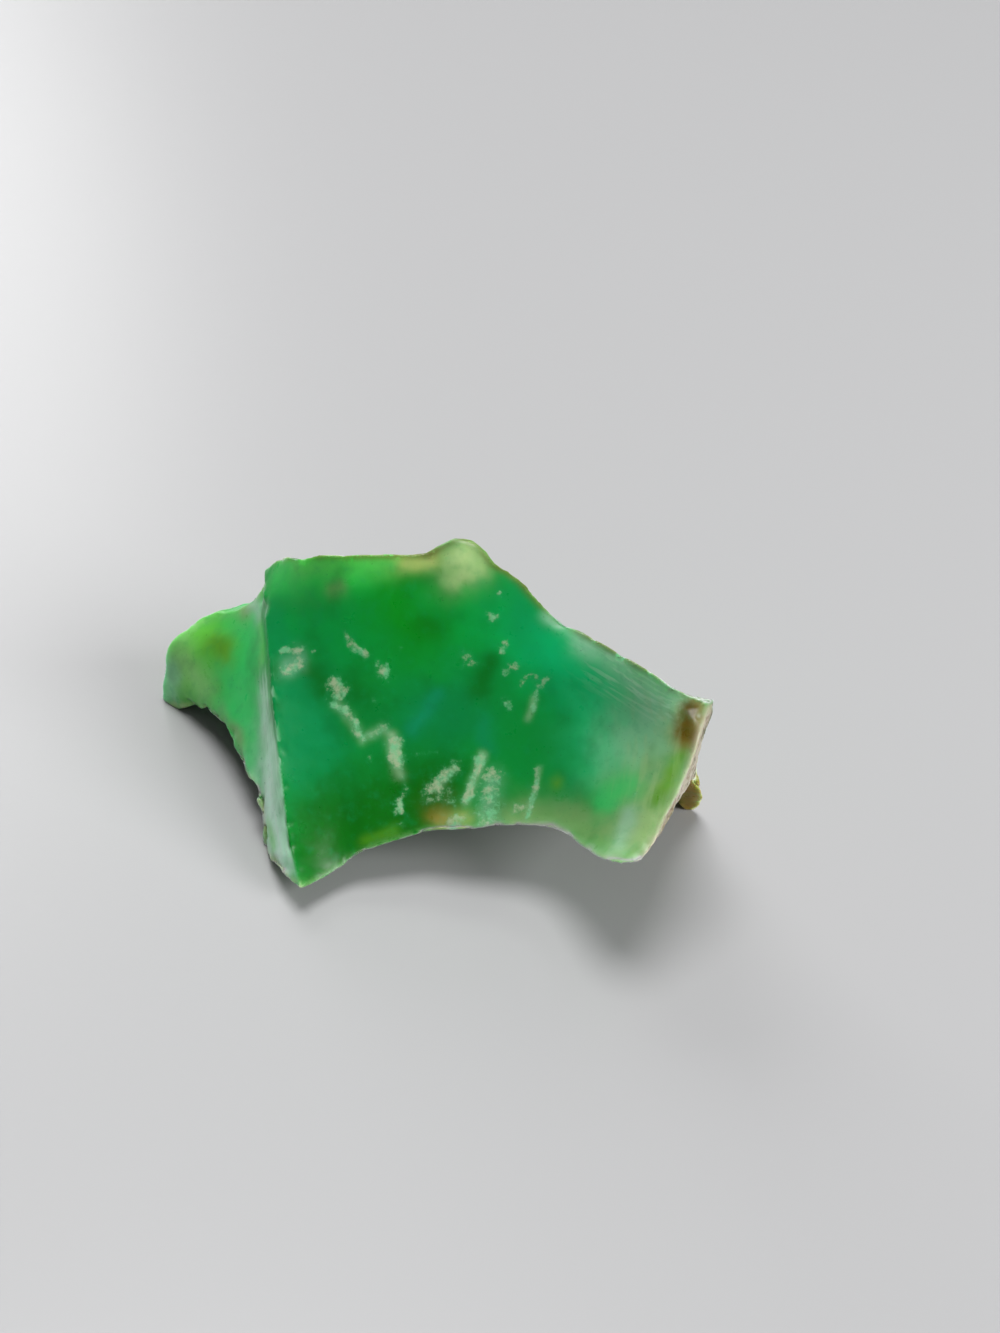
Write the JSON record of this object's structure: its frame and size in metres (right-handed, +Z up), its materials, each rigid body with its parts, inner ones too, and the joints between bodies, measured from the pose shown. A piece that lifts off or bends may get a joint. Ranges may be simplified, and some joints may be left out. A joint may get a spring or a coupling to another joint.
{
  "type": "raw chrysoprase",
  "caption": "Raw chip of translucent green chrysoprase with a broad hollow front, a sharp crest and a pale cortex edge, standing on small feet.",
  "frame": {"origin": "middle of the box's underside, on the surface that the stone stands on", "axes": "+X along the stone's length, the broad hollow front faces -Y and up, +Z up"},
  "size_m": [0.0332, 0.0204, 0.0156],
  "materials": {
    "chrysoprase": "waxy, translucent, soft gloss"
  },
  "bodies": {
    "root": {"chrysoprase": "chrysoprase"}
  },
  "joints": []
}
